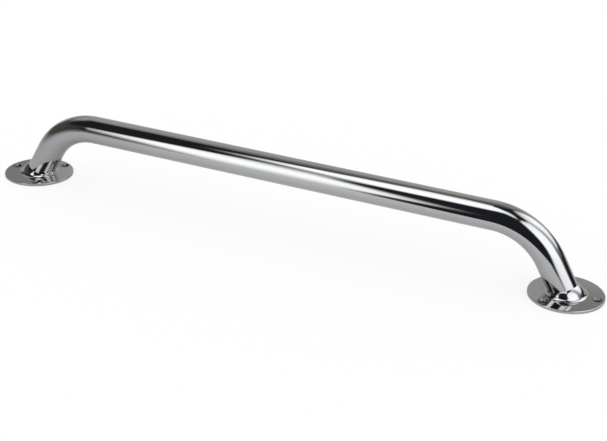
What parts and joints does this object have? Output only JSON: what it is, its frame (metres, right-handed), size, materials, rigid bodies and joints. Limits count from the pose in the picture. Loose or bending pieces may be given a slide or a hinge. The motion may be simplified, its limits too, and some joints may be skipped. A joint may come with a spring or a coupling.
{
  "type": "handrail",
  "caption": "Wall-mounted grab handrail: a straight polished tube with splayed, bent ends running into round domed flanges with countersunk screw holes.",
  "frame": {"origin": "on the mounting surface, midway between the two flange centres", "axes": "+X along the rail towards the right flange, +Z away from the mounting surface"},
  "size_m": [0.513, 0.056, 0.061],
  "materials": {
    "polished_chrome": "mirror polished",
    "weld_metal": "as welded, rippled"
  },
  "bodies": {
    "root": {"rail_tube": "polished_chrome", "left_flange": "polished_chrome", "right_flange": "polished_chrome", "left_weld": "weld_metal", "right_weld": "weld_metal"}
  },
  "joints": []
}
